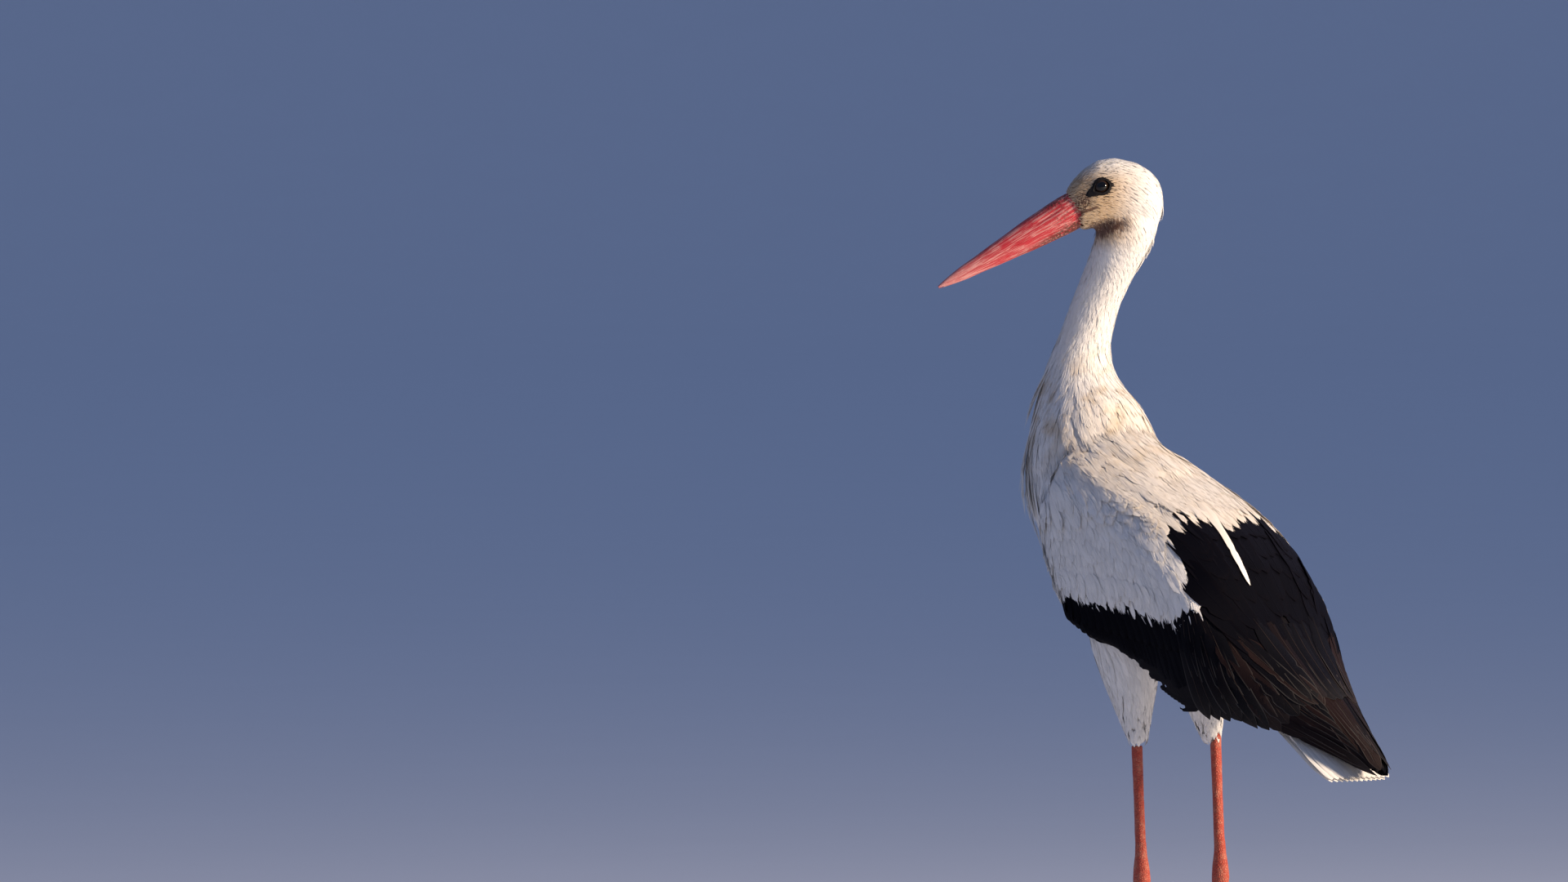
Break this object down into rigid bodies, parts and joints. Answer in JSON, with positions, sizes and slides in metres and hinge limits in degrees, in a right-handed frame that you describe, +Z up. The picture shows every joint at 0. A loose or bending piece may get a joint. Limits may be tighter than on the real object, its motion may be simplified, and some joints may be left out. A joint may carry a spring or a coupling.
{
  "type": "white stork",
  "caption": "Standing white stork with folded wings, long neck drawn up in a curve, head turned to its left and long straight bill pointing down.",
  "frame": {"origin": "on the floor, under the middle of the whole bird's box", "axes": "+Z up, -Y the way the body faces, +X to the bird's left, the side that its head is turned to"},
  "size_m": [0.2634, 0.54, 1.0217],
  "materials": {
    "white_plumage": "soft white contour feathers with a cream stain",
    "flight_feathers": "black feathers with a faint gloss, browner towards the tips",
    "bill_horn": "red horn with pale streaks, satin",
    "leg_skin": "red scaled skin",
    "claw_horn": "dark horn",
    "eye": "wet dark eye"
  },
  "bodies": {
    "root": {"head": "white_plumage", "bill_upper": "bill_horn", "bill_lower": "bill_horn", "eye_left": "eye", "eye_right": "eye", "neck_upper": "white_plumage", "neck_middle": "white_plumage", "neck_lower": "white_plumage", "breast": "white_plumage", "trunk": "white_plumage", "tail": "white_plumage", "wing_left_coverts": "white_plumage", "wing_right_coverts": "white_plumage", "wing_left_greater_coverts": "flight_feathers", "wing_right_greater_coverts": "flight_feathers", "wing_left_secondaries": "flight_feathers", "wing_right_secondaries": "flight_feathers", "wing_left_scapulars": "flight_feathers", "wing_right_scapulars": "flight_feathers", "wing_left_tertials": "flight_feathers", "wing_right_tertials": "flight_feathers", "wing_left_primaries": "flight_feathers", "wing_right_primaries": "flight_feathers", "thigh_left": "white_plumage", "shank_left": "leg_skin", "heel_left": "leg_skin", "tarsus_left": "leg_skin", "foot_left": "leg_skin", "toe_left_inner": "leg_skin", "claw_left_inner": "claw_horn", "toe_left_middle": "leg_skin", "claw_left_middle": "claw_horn", "toe_left_outer": "leg_skin", "claw_left_outer": "claw_horn", "toe_left_hind": "leg_skin", "claw_left_hind": "claw_horn", "thigh_right": "white_plumage", "shank_right": "leg_skin", "heel_right": "leg_skin", "tarsus_right": "leg_skin", "foot_right": "leg_skin", "toe_right_inner": "leg_skin", "claw_right_inner": "claw_horn", "toe_right_middle": "leg_skin", "claw_right_middle": "claw_horn", "toe_right_outer": "leg_skin", "claw_right_outer": "claw_horn", "toe_right_hind": "leg_skin", "claw_right_hind": "claw_horn"}
  },
  "joints": []
}
